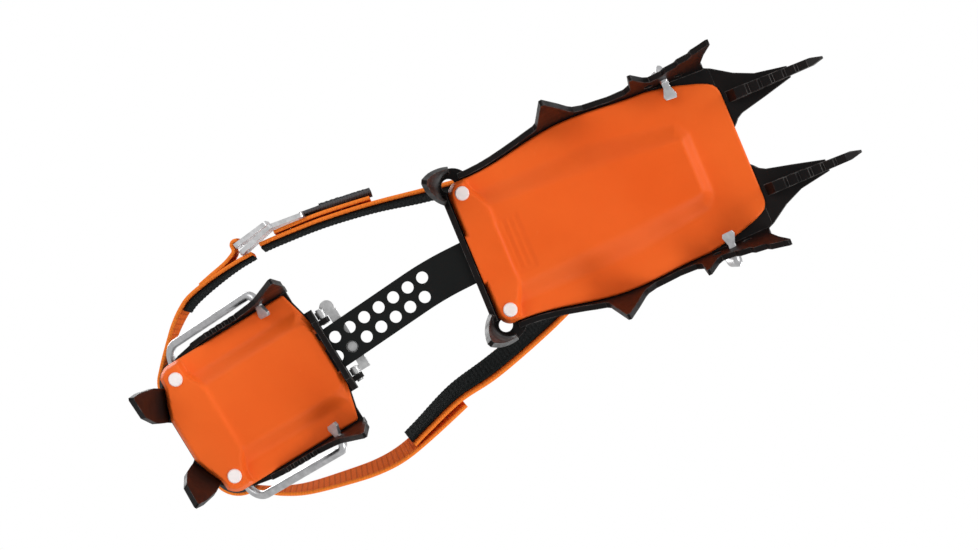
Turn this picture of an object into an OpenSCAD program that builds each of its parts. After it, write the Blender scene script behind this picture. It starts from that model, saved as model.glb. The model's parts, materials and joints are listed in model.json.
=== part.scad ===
// Crampon for a right boot: points down, +Z towards the boot, +Y towards the toe,
// +X to the wearer's right. The boot sole rests on the plane z = 0.
// Millimetres. The origin is on the long axis of the front section.

/* [Sheet steel] */
// Thickness of the pressed steel sheet
sheet = 2.6; // [2.2:0.1:3]
// Depth of the longest ground points below the boot sole
point_depth = 44; // [40:1:48]
// Outward tilt of the front section's sides, in degrees
front_splay = 11.5; // [8:0.5:13]

/* [Front section] */
// Half width of the front section at its widest
rail_w = 44.1; // [43:0.1:46]
// Downward pitch of the two front points, in degrees
front_pitch = 15; // [8:1:22]
// Length of a front point from its root
front_point_len = 50; // [46:1:55]

/* [Linking bar] */
// Width of the linking bar
bar_w = 20; // [18:0.5:20]
// Thickness of the linking bar
bar_t = 2.5; // [2:0.1:2.6]
// Distance between two holes of one row
hole_pitch = 8; // [7:0.5:9]
// Diameter of the bar's holes
hole_d = 5.5; // [4.5:0.1:6]

/* [Bindings] */
// Diameter of the two bail wires
wire_d = 4; // [3:0.2:4.2]
// Height of the toe bail's crossing above its pivots
toe_bail_h = 52; // [46:1:60]
// Distance from the heel bail's pivots to its crossing
heel_bail_len = 70; // [66:1:76]
// Rise of the heel bail at rest, in degrees
heel_bail_rise = 42; // [36:1:48]

/* [Webbing] */
// Width of the ankle strap
strap_w = 20; // [16:1:21]
// Thickness of the ankle strap
strap_t = 1.8; // [1.2:0.1:2]
// Width of the ribbed lining
lining_w = 15; // [10:1:18]

/* [Hidden] */
$fn = 48;
run_fit = 0.08;      // radial clearance of a turning fit
over = 1;            // how far a cut runs past a face
wall_inset = 0.05;   // how far a bent-down wall starts inside the deck's edge

steel = [0.07, 0.07, 0.08];
orange = [0.93, 0.39, 0.13];
silver = [0.75, 0.75, 0.77];
wire_grey = [0.6, 0.6, 0.62];
dark_grey = [0.2, 0.21, 0.22];

// ---- heights
deck_z = -sheet;
bar_top = -3;
bar_bottom = bar_top - bar_t;
slot_bottom = bar_bottom - 0.4;
pivot_z = -8.6;
skin_top = deck_z - 0.2;
skin_t = 1.8;
skin_bottom = skin_top - skin_t;
raised_z = -10.5;
strap_z = 58;

// ---- front section, plan
bulge_y = -3;
rear_y = -69.3;
front_y = 66;
point_root_y = 66.8;
ear_at = [33.2, -62.5];
ear_r = 8.6;
ear_tip_r = 13.4;
ear_heading = -63;
front_rivet_at = [28.6, -59.6];
toe_pivot_y = 44.7;
bail_holes_y = [37.2, toe_pivot_y, 52];
bar_pivot_at = [-0.7, -57];
slot_x = -1.6;
slot_w = 22.6;

// ---- linking bar, plan: a short front leg, then the drilled leg
bar_bend = [-2.8, -86.4];
bar_heading = -11.8;
bar_leg_heading = -atan2(bar_pivot_at[0] - bar_bend[0], bar_pivot_at[1] - bar_bend[1]);
bar_bend_r = 160;
bar_turn = [bar_leg_heading - 90, bar_heading - 90];
bar_arc_at = bar_bend
    - bar_bend_r * tan((bar_turn[0] - bar_turn[1]) / 2) * [cos(bar_turn[0]), sin(bar_turn[0])]
    + bar_bend_r * [sin(bar_turn[0]), -cos(bar_turn[0])];
bar_len = 112;
row_x = 4;
row_holes = 13;
stud_hole = 5;

// ---- heel section, in its own frame
heel_at = [-20.9, -182, 0];
heel_turn = -9;
heel_w = 36.2;
heel_splay = 6.5;
heel_front_y = 42;
heel_pivot_y = 23;
heel_rivet_at = [25.7, -26.5];
heel_slot_x = 0.7;
leaf_at = [11.5, -41.5];
leaf_heading = 23.9;
leaf_splay = 13;
clip_pin = [0, 44.7, -2.5];
lug_x = [-16.5, 13.2];
arm_x = [[-15, -11.9], [14.8, 18.4]];
cup_w = 35.5;
cup_rear = -41;
cup_front = -26;
cup_z = [40.6, 68.6];
strap_rivet_x = 19.5;
heel_cross_y = heel_pivot_y - heel_bail_len * cos(heel_bail_rise);
heel_cross_z = pivot_z + heel_bail_len * sin(heel_bail_rise);

// ---- toe cradle: two ears carry the strap
toe_cross_z = pivot_z + toe_bail_h;
ear_x = 19;
ear_y = 0;

// ---- double ring buckle
ring_h = 27;
outer_ring_at = [50.6, -159.5];
outer_ring_turn = -14;
inner_ring_at = [47.5, -158.1];
inner_ring_turn = -20;
inner_ring_len = 20;
ring_t = 2.2;
nose_len = 17;

// ---- webbing routes in plan: [x, y, lean], where lean is how far the top edge tips inwards
lining_shift = strap_t / 2 + 1.1;
front_route = [
    [43.8, -157.5, 6], [44, -148, 6], [43.6, -126, 6], [41.2, -101, 8], [37.2, -77, 12],
    [34.3, -55, 12], [31.5, -30, 7], [29.5, -12, 2], [26, -3.5, 0], [20, 0, 0], [8, 0, 0],
    [-8, 0, 0], [-20, 0, 0], [-26, -3.5, 0], [-30, -12, 4], [-36, -29, 15], [-43, -50, 25],
    [-51.5, -78, 30], [-56.5, -99, 25], [-65, -119, 20], [-68.5, -127, 20]
];
tail_route = [[46.6, -149, 6], [46.6, -138, 6], [46.4, -126, 6], [45.2, -112, 7], [44, -101, 8]];
medial_route = [
    [-59.8, -97.5, 25], [-68, -117.5, 20], [-73, -133, 18], [-74.5, -146, 16], [-73.8, -160, 14],
    [-71.5, -180, 10], [-68, -192, 6], [-64.5, -199, 2], [-61.4, -204.6, 0]
];
lateral_route = [
    [5.8, -224.7, 0], [11.9, -220.2, 1], [18.3, -214.9, 3], [24.6, -209.2, 6], [30, -203, 8],
    [33.8, -196.5, 9], [37.8, -184, 7], [40.5, -172, 4], [41.8, -162.5, 3]
];
loop_route = [[39.6, -187.5, 7], [41.9, -179.5, 6], [44.3, -170.6, 6]];

function clamp01(t) = min(1, max(0, t));
function ease(t) = (1 - cos(180 * clamp01(t))) / 2;
function mirrored(p) = [for (i = [len(p) - 1:-1:0]) [-p[i][0], p[i][1]]];

// Outer half width of the front section's top edge
function rail_x(y) = y < bulge_y
    ? rail_w - 6.9 * ease((bulge_y - y) / 54)
    : rail_w - 1.9 * ease((y - bulge_y) / 35) - 0.03 * max(0, y - 30);

// ---- helpers
module both_sides() {
    children();
    mirror([1, 0, 0]) children();
}

// Extrudes an outline drawn in Y and Z along X
module along_x(x0, x1) {
    translate([x0, 0, 0]) rotate([90, 0, 90]) linear_extrude(x1 - x0) children();
}

module rod_x(x0, x1, r) {
    translate([x0, 0, 0]) rotate([0, 90, 0]) cylinder(r = r, h = x1 - x0);
}

module slab(z0, z1) {
    translate([0, 0, z0]) linear_extrude(z1 - z0) children();
}

module rounded_rect(x0, y0, x1, y1, r) {
    translate([x0 + r, y0]) square([x1 - x0 - 2 * r, y1 - y0]);
    translate([x0, y0 + r]) square([x1 - x0, y1 - y0 - 2 * r]);
    for (x = [x0 + r, x1 - r], y = [y0 + r, y1 - r]) translate([x, y]) circle(r);
}

// A tilted plate: its outline is drawn in s (along the plate) and z, its outer face looks
// towards -Y before the heading, and its lower edge leans outwards by the splay.
module flange(at, heading, splay) {
    translate([at[0], at[1], 0]) rotate([0, 0, heading]) rotate([-splay, 0, 0])
        translate([0, sheet + wall_inset, 0]) rotate([90, 0, 0]) linear_extrude(sheet) children();
}

module at_heel() {
    translate(heel_at) rotate([0, 0, heel_turn]) children();
}

module at_bar() {
    translate([bar_bend[0], bar_bend[1], 0]) rotate([0, 0, bar_heading]) children();
}

// ---- front frame
function front_rails() = [for (i = [0:20]) let (y = -60 + 6.1 * i) [rail_x(y), y]];

module front_deck_outline() {
    half = concat([[0, rear_y], [31, rear_y]], front_rails(), [[38.1, front_y], [8.4, front_y], [0, 64.5]]);
    both_sides() polygon(half);
    both_sides() translate(ear_at) circle(ear_r + wall_inset);
}

module front_side_wall() {
    strip = concat(front_rails(), [[rail_x(64), 74], [rail_x(64) - sheet, 74]],
        [for (i = [20:-1:0]) let (y = -60 + 6.1 * i) [rail_x(y) - sheet, y]]);
    intersection() {
        translate([rail_w, 0, 0]) rotate([0, -front_splay, 0]) translate([-rail_w, 0, -60])
            linear_extrude(90) polygon(strip);
        along_x(30, 60) front_side_profile();
    }
}

module front_side_profile() {
    polygon([
        [-58.5, 0], [-58.5, -5], [-45, -5.6], [-28, -7.2], [-18.5, -9.5], [-17, -12],
        [-12.9, -point_depth], [-11.5, -point_depth], [-0.5, -13.5], [1.5, -9.5], [6, -6.4],
        [18, -6.6], [26, -9.5], [28.6, -14],
        [28.4, -30], [30, -30], [35.5, -18], [38, -15],
        [44, -17.5], [45.6, -20.8], [50.6, -23.5], [52, -27], [57.2, -29.8], [58.6, -33.8],
        [66, -40.5], [67.3, -40], [64.2, -27], [62.4, -14], [64, -3], [64, 0]
    ]);
}

module ear_point() {
    translate([ear_at[0], ear_at[1], 0]) rotate([0, 0, ear_heading]) intersection() {
        rotate([0, 0, -72]) rotate_extrude(angle = 144)
            polygon([[ear_r - sheet, 0], [ear_r, 0], [ear_tip_r, -point_depth],
                [ear_tip_r - sheet, -point_depth]]);
        along_x(0, 20) polygon([
            [-9, 0], [-9, -7], [-7.6, -15], [-4.4, -31], [-1, -point_depth], [1, -point_depth],
            [4.4, -31], [7.6, -15], [9, -7], [9, 0]]);
    }
}

module front_point() {
    difference() {
        translate([0, point_root_y, 0]) rotate([-front_pitch, 0, 0]) front_point_blade(front_point_len);
        slab(0, 5) translate([5, 55]) square([40, 20]);
    }
}

module front_point_blade(tip) {
    slab(-sheet, 0) polygon([
        [9.1, -4], [9.1, 0.6], [10.6, 2.2], [12.2, 3.6], [13.8, 6.4], [16.5, 18.2], [20.2, 33.2],
        [25.8, 33.2], [28.5, 18.2], [32.5, 9.2], [38.3, 0.4], [40.3, -4]]);
    intersection() {
        along_x(18, 28) front_ridge_profile(tip);
        slab(-20, 1) polygon([
            [20.3, 2], [21.1, tip - 5], [22.4, tip], [23.6, tip], [24.9, tip - 5], [25.7, 2]]);
    }
}

// Web under a front point: five notches on its lower edge and a bevelled tip
module front_ridge_profile(tip) {
    notches = 5;
    first = 13.5;
    step = 6;
    polygon(concat(
        [[tip, 0], [3, 0], [3, -3], [8, -8.5]],
        [for (i = [0:notches - 1], k = [0, 1]) [first + i * step + 1.2 * k, -9.4 + 1.6 * k]],
        [[first + notches * step, -9], [tip - 1, -4.5], [tip, -3]]));
}

module front_rear_wall() {
    flange([0, rear_y], 0, 0) difference() {
        polygon([[-31, 0], [-31, -6], [-24, -9.6], [24, -9.6], [31, -6], [31, 0]]);
        translate([slot_x - slot_w / 2, slot_bottom]) square([slot_w, deck_z - slot_bottom]);
    }
}

module front_frame() {
    color(steel) difference() {
        union() {
            slab(deck_z, 0) difference() {
                front_deck_outline();
                rounded_rect(-27, -42, 27, -10, 6);
                rounded_rect(-27, 8, 27, 52, 6);
            }
            both_sides() front_side_wall();
            both_sides() ear_point();
            both_sides() front_point();
            front_rear_wall();
        }
        for (y = bail_holes_y) translate([-60, y, pivot_z]) rod_x(0, 120, wire_d / 2 + run_fit);
        both_sides() translate([ear_at[0] + 1.2, ear_at[1] - 1.6, deck_z - over])
            cylinder(r = 3.2, h = sheet + 2 * over);
        both_sides() translate([front_rivet_at[0], front_rivet_at[1], -4])
            cylinder(r = 1.8 + run_fit, h = 5);
        translate([bar_pivot_at[0], bar_pivot_at[1], -4]) cylinder(r = 3 + run_fit, h = 5);
    }
}

// ---- anti-snow plates: a thin skin under the deck with a raised plateau and a raised rear strip
module raised_body(crest, foot, strip, grow, z0, z1) {
    hull() {
        slab(z0, z0 + 0.1) offset(delta = grow) polygon(crest);
        slab(z1 - 0.1, z1) offset(delta = grow) polygon(foot);
    }
    slab(z0, z1) intersection() {
        offset(delta = grow) polygon(strip);
        children();
    }
}

module snow_plate(crest, foot, strip, rivet, mouth) {
    difference() {
        union() {
            slab(skin_bottom, skin_top) children();
            raised_body(crest, foot, strip, 0, raised_z, skin_bottom) children();
        }
        difference() {
            raised_body(crest, foot, strip, -skin_t, raised_z + skin_t, skin_top + over) children();
            both_sides() translate([rivet[0], rivet[1], -20]) cylinder(r = 4.4, h = 30);
        }
        translate([mouth[0], mouth[1], slot_bottom - 0.4]) cube([mouth[2], mouth[3], 10]);
        both_sides() translate([rivet[0], rivet[1], -20]) cylinder(r = 1.8 + run_fit, h = 30);
    }
}

module front_plate_outline() {
    half = concat([[0, -66]], [for (a = [-90:18:-18]) front_rivet_at + 6.4 * [cos(a), sin(a)]],
        [for (i = [0:15]) let (y = -57 + 6.1 * i) [rail_x(y) - 2.4, y]],
        [[38.6, 41], [36.8, 49.5], [33.8, 59], [32, 63], [29, 66], [25, 67], [0, 67]]);
    both_sides() polygon(half);
}

module front_antisnow_plate() {
    crest = [[-18.5, -57], [18.5, -57], [12, 41], [-12, 41]];
    foot = [[-28, -57], [28, -57], [28.5, 5], [22, 43], [15, 47.5], [-15, 47.5], [-22, 43], [-28.5, 5]];
    strip = [[-60, -70], [60, -70], [60, -55.5], [17, -51], [-17, -51], [-60, -55.5]];
    color(orange) snow_plate(crest, foot, strip, front_rivet_at, [slot_x - 12.5, -70, 25, 24])
        front_plate_outline();
}

module heel_plate_outline() {
    arc = [for (a = [-60:15:0]) heel_rivet_at + 7.6 * [cos(a), sin(a)]];
    half = concat([[0, -38.8], [10.5, -38.8], [24.5, -33.6]], arc,
        [[33.3, 33.8], [17, 38.6], [0, 38.8]]);
    both_sides() polygon(half);
}

module heel_antisnow_plate() {
    crest = [[-15.5, -22], [15.5, -22], [16.6, 37.8], [-16.6, 37.8]];
    foot = [[-22, -22], [22, -22], [22.5, 37.8], [-22.5, 37.8]];
    strip = [[-60, -45], [60, -45], [60, -20.5], [26, -20.5],
        [15, -17], [-15, -17], [-26, -20.5], [-60, -20.5]];
    color(orange) at_heel() snow_plate(crest, foot, strip, heel_rivet_at, [heel_slot_x - 12.5, 20, 25, 24])
        heel_plate_outline();
}

// Flat head under the plate, straight shank up to the boot side of the deck
module plate_rivet(at) {
    translate([at[0], at[1], 0]) {
        translate([0, 0, raised_z - 0.9]) cylinder(r1 = 2.9, r2 = 3.3, h = 0.9);
        translate([0, 0, raised_z]) cylinder(r = 1.8, h = -raised_z - 0.1);
    }
}

module front_plate_rivets() {
    color(silver) both_sides() plate_rivet(front_rivet_at);
}

module heel_plate_rivets() {
    color(silver) at_heel() both_sides() plate_rivet(heel_rivet_at);
}

// ---- linking bar
module bar_pivot_rivet() {
    color(steel) translate([bar_pivot_at[0], bar_pivot_at[1], 0]) {
        translate([0, 0, bar_bottom - 1.6]) cylinder(r = 4.5, h = 1.5);
        translate([0, 0, bar_bottom - 0.2]) cylinder(r = 3, h = -bar_bottom + 0.1);
    }
}

function bar_edge(r) = [for (k = [0:8]) let (t = bar_turn[0] + (bar_turn[1] - bar_turn[0]) * k / 8)
    bar_arc_at - r * [sin(t), -cos(t)]];
function reversed(p) = [for (i = [len(p) - 1:-1:0]) p[i]];
function in_bar(x, y) = bar_bend
    + [x * cos(bar_heading) - y * sin(bar_heading), x * sin(bar_heading) + y * cos(bar_heading)];

module bar_outline() {
    half = bar_w / 2;
    right = [sin(bar_turn[0]), -cos(bar_turn[0])];
    corner = [for (a = [0:15:90]) in_bar(half - 5 + 5 * cos(a), 5 - bar_len - 5 * sin(a))];
    other = [for (a = [90:-15:0]) in_bar(5 - half - 5 * cos(a), 5 - bar_len - 5 * sin(a))];
    polygon(concat([bar_pivot_at - half * right], bar_edge(bar_bend_r + half), corner, other,
        reversed(bar_edge(bar_bend_r - half)), [bar_pivot_at + half * right]));
    translate(bar_pivot_at) circle(half - 0.05);
}

module linking_bar() {
    color(steel) difference() {
        slab(bar_bottom, bar_top) bar_outline();
        at_bar() for (i = [0:row_holes - 1]) {
            translate([row_x, -hole_pitch * (i + 0.5), -10]) cylinder(r = hole_d / 2, h = 10);
            translate([-row_x, -hole_pitch * (i + 1), -10]) cylinder(r = hole_d / 2, h = 10);
        }
        translate([bar_pivot_at[0], bar_pivot_at[1], -10]) cylinder(r = 3 + run_fit, h = 10);
    }
}

// ---- heel frame
module heel_deck_outline() {
    half = [[0, -39.1], [9.8, -39.1], leaf_at, [25.5, -35.3], [31, -30], [34.5, -21], [heel_w, -12],
        [heel_w, 36.5], [28, 36.5], [20.8, 38.2], [20.8, heel_front_y], [0, heel_front_y]];
    both_sides() polygon(half);
}

module heel_side_profile() {
    teeth = 6;
    polygon(concat(
        [[37.2, 0], [-14, 0], [-13, -3], [-7, -6.6]],
        [for (i = [0:teeth - 1], k = [0, 1]) [-6 + i * 3.4 + 1.4 * k, -6.8 - 0.35 * i - 1.6 * k]],
        [[15, -11.5], [19.5, -14.5], [23, -18], [34.9, -point_depth], [36.3, -point_depth],
            [38, -20], [37.2, -11]]));
}

module heel_front_wall() {
    flange([0, heel_front_y], 180, 0) difference() {
        polygon([[-20.6, 0], [-20.6, -5], [-15, -11], [15, -11], [20.6, -5], [20.6, 0]]);
        translate([-heel_slot_x - 11.5, slot_bottom]) square([23, deck_z - slot_bottom]);
    }
}

module clip_lug() {
    reach = clip_pin[1] - heel_front_y + over;
    rod_x(-1.3, 1.3, 2.4);
    translate([-1.3, -reach, -2.4]) cube([2.6, reach, 4.8]);
}

module heel_frame() {
    color(steel) at_heel() difference() {
        union() {
            slab(deck_z, 0) difference() {
                heel_deck_outline();
                rounded_rect(-22, -18, 22, 24, 5);
            }
            both_sides() flange([heel_w, 0], 90, heel_splay) heel_side_profile();
            both_sides() flange(leaf_at, leaf_heading, leaf_splay) polygon([
                [0, 0], [15.3, 0], [16.6, -18], [15.8, -36], [14.4, -45.2], [13.2, -45.2],
                [4.2, -33], [0.6, -19], [0, -8]]);
            heel_front_wall();
            for (x = lug_x) translate(clip_pin + [x, 0, 0]) clip_lug();
        }
        translate([-60, heel_pivot_y, pivot_z]) rod_x(0, 120, wire_d / 2 + run_fit);
        for (x = lug_x) translate(clip_pin) rod_x(x - 4, x + 4, 1.5 + run_fit);
        both_sides() translate([heel_rivet_at[0], heel_rivet_at[1], -4])
            cylinder(r = 1.8 + run_fit, h = 5);
    }
}

// ---- length lock: a strip bent into a U, hinged on two pins, with a stud over a bar hole
module lock_clip() {
    color(wire_grey) at_heel() difference() {
        union() {
            for (arm = arm_x) translate(clip_pin) rod_x(arm[0], arm[1], 2.3);
            slab(-2, -0.2) {
                for (arm = arm_x) translate([arm[0], clip_pin[1]]) square([arm[1] - arm[0], 4]);
                translate([-15, 47.5]) square([31, 4.4]);
                hull() {
                    translate([16, 46]) circle(1.2);
                    translate([16.6, clip_pin[1]]) square([1.8, 1]);
                    translate([18, 48.6]) circle(3.3);
                }
                translate([-3.4, 49.6]) circle(4.2);
            }
        }
        for (arm = arm_x) translate(clip_pin) rod_x(arm[0] - 1, arm[1] + 1, 1.5 + run_fit);
    }
}

module lock_stud() {
    color(dark_grey) at_bar() translate([-row_x, -hole_pitch * (stud_hole + 1), bar_top + 0.2])
        cylinder(r = 2.4, h = -2 - bar_top - 0.2);
}

module lock_clip_pins() {
    color(silver) at_heel() translate(clip_pin) {
        rod_x(-18.6, -11.4, 1.5);
        rod_x(11.6, 19.2, 1.5);
    }
}

// ---- bail wires. The wire lies in the XY plane: paddles inside, arms along +Y, crossing at y = length.
module wire_elbow(r, turn) {
    rotate_extrude(angle = turn) translate([r, 0]) circle(d = wire_d, $fn = 24);
}

module bail_half(x_arm, x_paddle, length, corner, flat_turn) {
    foot = 3.8;
    neck = x_arm - foot;
    translate([x_paddle + 8, 0, 0]) rod_x(0, neck - x_paddle - 8, wire_d / 2);
    translate([x_paddle, 0, 0]) rotate([flat_turn, 0, 0]) slab(-0.9, 0.9) polygon([
        [9.5, -1.7], [9.5, 1.7], [5.6, 1.6], [1.6, 3], [0, 2.3], [-0.3, -2.6], [1.4, -3.2], [5.6, -1.7]]);
    translate([neck, foot, 0]) rotate([0, 0, -90]) wire_elbow(foot, 90);
    translate([x_arm, foot, 0]) rotate([-90, 0, 0]) cylinder(d = wire_d, h = length - corner - foot);
    translate([x_arm - corner, length - corner, 0]) wire_elbow(corner, 90);
}

module bail(x_arm, x_paddle, length, corner, flat_turn) {
    both_sides() bail_half(x_arm, x_paddle, length, corner, flat_turn);
    translate([0, length, 0]) rod_x(-x_arm + corner, x_arm - corner, wire_d / 2);
}

module toe_bail_wire() {
    color(wire_grey) translate([-1, toe_pivot_y, pivot_z]) rotate([90, 0, 0])
        bail(47.5, 33, toe_bail_h, 15, 90);
}

// ---- toe cradle: threaded on the toe bail, two upright ears carry the ankle strap
module toe_cradle() {
    color(dark_grey) difference() {
        union() {
            translate([0, toe_pivot_y, toe_cross_z]) rod_x(-26, 26, 4.4);
            along_x(-27, 27) polygon([
                [toe_pivot_y, toe_cross_z - 4.4], [toe_pivot_y, toe_cross_z - 1.4],
                [28, toe_cross_z + 1.6], [12, toe_cross_z + 3], [-9, toe_cross_z + 3],
                [-9, toe_cross_z], [12, toe_cross_z], [28, toe_cross_z - 1.4]]);
            for (x = [-ear_x, ear_x]) translate([x - 1.5, ear_y - 7, toe_cross_z + 1])
                cube([3, 14, strap_z + 14 - toe_cross_z - 1]);
        }
        translate([0, toe_pivot_y, toe_cross_z]) rod_x(-40, 40, wire_d / 2 + run_fit);
        translate([-40, ear_y - 3, strap_z - strap_w / 2 - 0.6]) cube([80, 6, strap_w + 1.2]);
        for (y = [10, 23]) slab(30, 60) rounded_rect(-18, y, 18, y + 9, 3);
        both_sides() slab(30, 60) polygon([[21.5, -10], [28, -10], [28, 18]]);
    }
}

// ---- heel bail and cradle
module at_heel_bail() {
    at_heel() translate([0, heel_pivot_y, pivot_z]) rotate([-heel_bail_rise, 0, 0]) children();
}

module heel_bail_wire() {
    color(wire_grey) at_heel_bail() mirror([0, 1, 0]) bail(41.3, 28.7, heel_bail_len, 9, 0);
}

module cup_outline(inset) {
    r = 12 - inset;
    w = cup_w - inset;
    rounded_rect(-w, cup_rear + inset, w, cup_front + 40, r);
}

module heel_cradle() {
    color(dark_grey) at_heel() difference() {
        union() {
            translate([0, heel_cross_y, heel_cross_z]) rod_x(-24, 24, 4.4);
            slab(cup_z[0], cup_z[1]) intersection() {
                difference() {
                    cup_outline(0);
                    cup_outline(2.8);
                }
                translate([-50, -60]) square([100, 60 + cup_front]);
            }
            translate([-24, cup_rear, cup_z[0] - 1]) cube([48, heel_cross_y - cup_rear, 2.8]);
        }
        translate([0, heel_cross_y, heel_cross_z]) rod_x(-40, 40, wire_d / 2 + run_fit);
        for (x = [-10, 0, 10]) translate([x - 3.5, -50, cup_z[0] + 9]) cube([7, 14, 11]);
        both_sides() translate([strap_rivet_x, -50, strap_z]) rotate([-90, 0, 0])
            cylinder(r = 2 + run_fit, h = 20);
    }
}

module cradle_strap_rivets() {
    color(silver) at_heel() both_sides() translate([strap_rivet_x, cup_rear, strap_z]) rotate([-90, 0, 0]) {
        translate([0, 0, -strap_t - 2]) cylinder(r1 = 2.6, r2 = 4, h = 1.6);
        translate([0, 0, -strap_t - 0.4]) cylinder(r = 2, h = strap_t + 3.4);
        translate([0, 0, 2.8]) cylinder(r = 3.4, h = 1);
    }
}

// ---- webbing: a flat ribbon swept on edge along a smooth curve through the route's points
function spline(p, i, t) = let (
        a = p[max(0, i - 1)], b = p[i], c = p[i + 1], d = p[min(len(p) - 1, i + 2)])
    0.5 * (2 * b + t * (c - a) + t * t * (2 * a - 5 * b + 4 * c - d) + t * t * t * (3 * b - a - 3 * c + d));
function smooth(p, n) = concat(
    [for (i = [0:len(p) - 2], k = [0:n - 1]) spline(p, i, k / n)], [p[len(p) - 1]]);
function heading_at(p, i) = let (d = p[min(len(p) - 1, i + 1)] - p[max(0, i - 1)])
    [d[0], d[1]] / norm([d[0], d[1]]);
function ribbon_ring(p, i, w, t, shift) = let (
        h = heading_at(p, i), n = [-h[1], h[0], 0], lean = p[i][2],
        up = [0, 0, cos(lean)] + n * sin(lean), side = n * cos(lean) - [0, 0, sin(lean)],
        c = [p[i][0], p[i][1], strap_z] + side * shift)
    [c - side * t / 2 - up * w / 2, c + side * t / 2 - up * w / 2,
        c + side * t / 2 + up * w / 2, c - side * t / 2 + up * w / 2];

// Leaves out the route's first stretches, as many as skip says
module ribbon(route, w, t, shift = 0, skip = 0, fine = 3) {
    p = smooth(route, fine);
    first = skip * fine;
    last = len(p) - 1 - first;
    points = [for (i = [0:last]) each ribbon_ring(p, first + i, w, t, shift)];
    walls = [for (i = [0:last - 1], k = [0:3]) let (a = 4 * i + k, b = 4 * i + (k + 1) % 4)
        each [[a, b, b + 4], [a, b + 4, a + 4]]];
    far = 4 * last;
    ends = [[0, 3, 2], [0, 2, 1], [far, far + 1, far + 2], [far, far + 2, far + 3]];
    polyhedron(points, concat(walls, ends), convexity = 6);
}

module strap_front() {
    color(orange) ribbon(front_route, strap_w, strap_t);
}

module strap_front_lining() {
    color(dark_grey) ribbon(front_route, lining_w, 1, lining_shift);
}

module strap_tail() {
    color(orange) ribbon(tail_route, strap_w, strap_t);
}

// Ends of the webbing: each wraps a rear corner of the cradle and is riveted to its back
module strap_anchor(side) {
    slab(strap_z - strap_w / 2, strap_z + strap_w / 2) difference() {
        intersection() {
            cup_outline(-0.2 - strap_t);
            polygon(side > 0
                ? [[14, -60], [14, -29], [23.5, -29], [51.8, -57.3], [51.8, -60]]
                : [[-14, -60], [-14, -31], [-60, -31], [-60, -60]]);
        }
        cup_outline(-0.2);
    }
}

module strap_anchors() {
    color(orange) at_heel() difference() {
        for (side = [-1, 1]) strap_anchor(side);
        both_sides() translate([strap_rivet_x, -60, strap_z]) rotate([-90, 0, 0])
            cylinder(r = 2 + run_fit, h = 30);
    }
}

module strap_medial() {
    color(orange) ribbon(medial_route, strap_w, strap_t);
}

module strap_lateral() {
    color(orange) ribbon(lateral_route, strap_w, strap_t);
}

// Branch of the webbing that is sewn around the rear bars of both rings
module buckle_loop() {
    color(orange) ribbon(loop_route, strap_w, strap_t);
}

module strap_lateral_lining() {
    color(dark_grey) ribbon(lateral_route, lining_w, 1, lining_shift, 4);
}

// ---- double ring buckle: two flat rings standing on edge
module at_ring(at, turn) {
    translate([at[0], at[1], strap_z]) rotate([0, 0, turn]) children();
}

module ring_plate(y0, y1, t, rear_bar, front_bar) {
    along_x(-t / 2, t / 2) difference() {
        rounded_rect(y0, -ring_h / 2, y1, ring_h / 2, 2.5);
        translate([y0 + rear_bar, 2.9 - ring_h / 2]) square([y1 - y0 - rear_bar - front_bar, ring_h - 5.8]);
    }
}

module buckle_outer_ring() {
    color(silver) at_ring(outer_ring_at, outer_ring_turn) ring_plate(-9.5, 9.5, ring_t, 3, 3);
}

module buckle_inner_ring() {
    color(silver) at_ring(inner_ring_at, inner_ring_turn) {
        ring_plate(-inner_ring_len / 2, inner_ring_len / 2, ring_t, 3, 0);
        translate([0, 1.5 - inner_ring_len / 2, 1 - ring_h / 2]) cylinder(r = 1.3, h = ring_h - 2);
        translate([0, inner_ring_len / 2 - 1, 0]) rotate([0, 0, 22]) ring_plate(0, nose_len, ring_t, 0, 3);
    }
}

module pull_tab() {
    color(dark_grey) translate([50.1, -132.3, strap_z]) rotate([0, 0, 4]) rotate([0, -6, 0])
        along_x(-1.2, 1.2) rounded_rect(0, -7, 33, 7, 3);
}

front_frame();
front_antisnow_plate();
front_plate_rivets();
bar_pivot_rivet();
toe_bail_wire();
toe_cradle();
linking_bar();
heel_frame();
heel_antisnow_plate();
heel_plate_rivets();
lock_clip();
lock_stud();
lock_clip_pins();
heel_bail_wire();
heel_cradle();
cradle_strap_rivets();
strap_front();
strap_front_lining();
strap_tail();
strap_medial();
strap_lateral();
strap_lateral_lining();
strap_anchors();
buckle_loop();
buckle_outer_ring();
buckle_inner_ring();
pull_tab();
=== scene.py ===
"""Crampon: finishes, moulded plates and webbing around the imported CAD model.

The plates and the webbing are worked out in millimetres, and MM scales them.
"""
import json
import math

import bpy
import numpy as np
from mathutils import Matrix, Vector


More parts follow.
